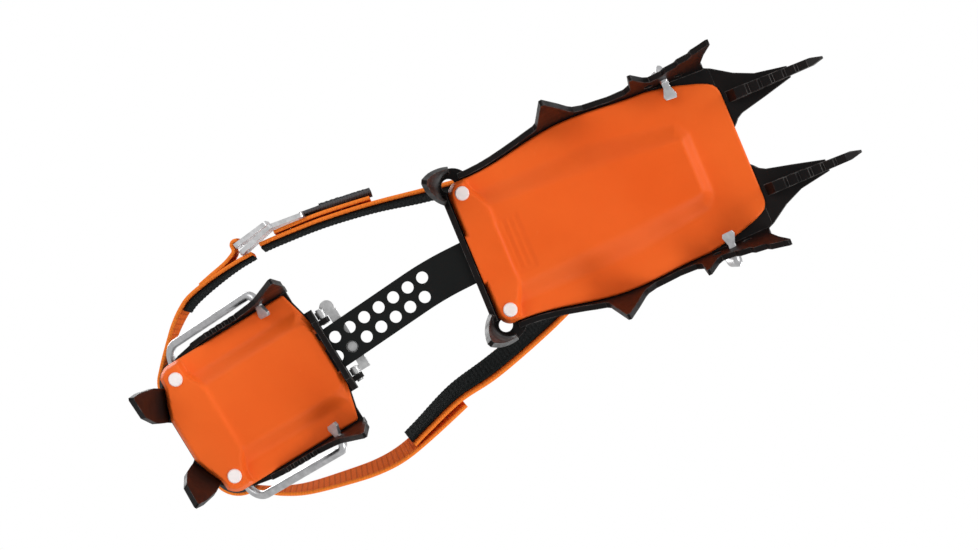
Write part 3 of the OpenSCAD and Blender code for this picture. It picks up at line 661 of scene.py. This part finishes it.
def selvedge(width, dip, pitch):
    """Cross ribs between two plain edges, each edge set off by a shallow channel."""
    channel_at, channel_w, ribs_to = 0.78, 0.07, 0.7  # as shares of the half width

    def relief(s, a, face):
        x = abs(a) / (width / 2)
        rib = abs(math.sin(math.pi * s / pitch)) ** 0.7 - 0.75
        return -dip * math.exp(-(((x - channel_at) / channel_w) ** 2)) + 1.3 * dip * rib * (x < ribs_to)
    return relief


def stitches(name, tape, spots, out, slot, length=2.1, radius=0.42):
    """Raised thread stitches: spots are (arc length, across, turn in degrees)."""
    rings, sides = 5, 6
    vertices, faces = [], []
    for s, a, turn in spots:
        at, heading, up, side = tape.at(s, a, out)
        t = math.radians(turn)
        along = heading * math.cos(t) + up * math.sin(t)
        other = up * math.cos(t) - heading * math.sin(t)
        base = len(vertices)
        for i in range(rings):
            x = -1 + 2 * i / (rings - 1)
            r = radius * math.sqrt(max(0.05, 1 - x * x))
            for k in range(sides):
                q = 2 * math.pi * k / sides
                point = at + along * x * length / 2 + other * r * math.cos(q) + side * 0.7 * r * math.sin(q)
                vertices.append(point * MM)
        for i in range(rings - 1):
            for k in range(sides):
                n = (k + 1) % sides
                faces.append((base + i * sides + k, base + i * sides + n, base + (i + 1) * sides + n,
                              base + (i + 1) * sides + k))
        faces.append(tuple(base + k for k in reversed(range(sides))))
        faces.append(tuple(base + (rings - 1) * sides + k for k in range(sides)))
    return new_object(name, vertices, faces, slot)


def join(target, *others):
    """Joins the others' meshes into target."""
    bpy.ops.object.select_all(action="DESELECT")
    for o in (target, *others):
        o.select_set(True)
    bpy.context.view_layer.objects.active = target
    bpy.ops.object.join()
    return target


def box_tack(s0, s1, half):
    """Stitch spots of a sewn box with a cross in it."""
    spots = []
    for s in np.arange(s0, s1, STITCH_PITCH):
        spots += [(s, half, 0), (s, -half, 0)]
    for a in np.arange(-half, half + 0.1, STITCH_PITCH):
        spots += [(s0 - 1, a, 90), (s1, a, 90)]
    slant = math.degrees(math.atan2(2 * half, s1 - s0))
    steps = max(2, int(math.hypot(2 * half, s1 - s0) / STITCH_PITCH))
    for k in range(1, steps):
        t = k / steps
        s = s0 + t * (s1 - s0)
        spots += [(s, -half + 2 * half * t, slant), (s, half - 2 * half * t, -slant)]
    return spots


def strap_mesh(name, tape):
    relief = selvedge(STRAP_W, STRAP_CHANNEL, STRAP_RIB)
    return tape_mesh(name, tape, STRAP_W, STRAP_T, "orange_webbing", relief=relief)


def lining_mesh(name, curve):
    relief = ribbed(LINING_RIB, LINING_RIB_H)
    return tape_mesh(name, Tape(curve, LINING_STEP), LINING_W, LINING_T, "black_webbing",
                     STRAP_T / 2 + LINING_IN, relief, 6)


def add_tack(strap, tape, start, end):
    """Sews a box between two distances from the tape's far end."""
    spots = box_tack(tape.length - start, tape.length - end, TACK_HALF_W)
    join(strap, stitches("tack", tape, spots, THREAD_OUT, "orange_webbing"))


def build_front_strap():
    """From the buckle over the toe cradle to the sewn joint. Returns the strap, its lining and its tape."""
    tape = Tape(smooth_route(FRONT_ROUTE), STRAP_STEP)
    strap = strap_mesh("ankle_strap_front", tape)
    add_tack(strap, tape, start=16, end=3)
    lining = lining_mesh("ankle_strap_front_lining", smooth_route(FRONT_ROUTE))
    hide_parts("strap_front")
    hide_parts("strap_front_lining")
    for piece in (strap, lining):
        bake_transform(piece)
    return strap, lining, tape


def build_tail():
    """The strap's free end, beside the buckle."""
    tail = strap_mesh("ankle_strap_tail", Tape(smooth_route(TAIL_ROUTE), STRAP_STEP))
    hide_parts("strap_tail")
    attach(tail, "front_section")
    return tail


def build_medial_strap():
    """From the sewn joint to the heel cradle's inner rivet."""
    curve = list(smooth_route(MEDIAL_ROUTE)) + cradle_corner(-1, 86, 0) + cradle_end(-1)
    tape = Tape(curve, STRAP_STEP)
    medial = strap_mesh("ankle_strap_medial", tape)
    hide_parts("strap_medial", "strap_anchors")
    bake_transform(medial)


def build_lateral_strap():
    """From the heel cradle's outer rivet to the buckle, with its lining. Returns both."""
    route = smooth_route(LATERAL_ROUTE)
    tape = Tape(cradle_end(1) + cradle_corner(1, 0, 45) + list(route)[1:], STRAP_STEP)
    lateral = strap_mesh("ankle_strap_lateral", tape)
    add_tack(lateral, tape, start=37, end=25)
    lining = lining_mesh("ankle_strap_lateral_lining", route[SIDE_LINING_FROM * PER_SEGMENT:])
    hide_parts("strap_lateral")
    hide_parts("strap_lateral_lining")
    for piece in (lateral, lining):
        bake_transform(piece)
    return lateral, lining


def build_buckle_branch():
    """The short branch that wraps the outer ring's rear bar."""
    loop = strap_mesh("buckle_branch", Tape(smooth_route(LOOP_ROUTE), STRAP_STEP))
    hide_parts("buckle_loop")
    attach(loop, "heel_section")
    return loop


def build_webbing():
    strap, lining, front = build_front_strap()
    tail = build_tail()
    build_medial_strap()
    lateral, side_lining = build_lateral_strap()
    loop = build_buckle_branch()


def build_pull_tab():
    """Folded tape grip, thinner by the ring and thicker beyond, with four stitch rows and a sewn box."""
    tape = Tape(smooth_route(TAB_ROUTE), TAB_STEP)
    grip_from, grip_to, ridge_pitch, thread_pitch = 9, tape.length - 3, 2.4, 2.9

    def swell(s, a, face):
        fold = 0.45 * ease((s - grip_from) / 4) - 0.35 * ease((7 - s) / 5)
        ridge = 0.22 * abs(math.sin(math.pi * s / ridge_pitch)) * (grip_from < s < grip_to)
        return float(fold + ridge)

    tab = tape_mesh("buckle_pull_tab", tape, TAB_W, TAB_T, "grey_webbing", relief=swell, across=8)
    rows = [(s, a, 0) for a in (-4, -1.4, 1.4, 4) for s in np.arange(12, grip_to, thread_pitch)]
    thread = stitches("tab_thread", tape, rows + box_tack(11, 19, 5.2), -1.75, "grey_webbing", 1.9, 0.4)
    join(tab, thread)
    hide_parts("pull_tab")
    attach(tab, "buckle")


add_camera()
add_world()
add_floor()
scene.view_settings.view_transform = "Standard"
add_light("key", (-0.95, 0.45, -0.85), (0, -0.06, 0), 0.8, 7.0)
add_light("toe", (0.15, 1.25, -0.28), (0, 0, -0.005), 0.5, 6.5)
add_light("fill", (0.9, -0.7, -1.0), (0, -0.08, 0), 1.0, 6.0)
add_light("above", (0.7, -0.5, 1.4), (0, -0.08, 0), 1.0, 9.0)
add_light("above_left", (-0.9, 0.6, 1.1), (0, -0.08, 0), 0.8, 5.0)
finish_frame()
moulded_plate("front_snow_plate", "front_antisnow_plate", FRONT_PLATE, UNTURNED, "front_section")
moulded_plate("heel_snow_plate", "heel_antisnow_plate", HEEL_PLATE, HEEL_PLACE, "heel_section")
build_webbing()
build_pull_tab()
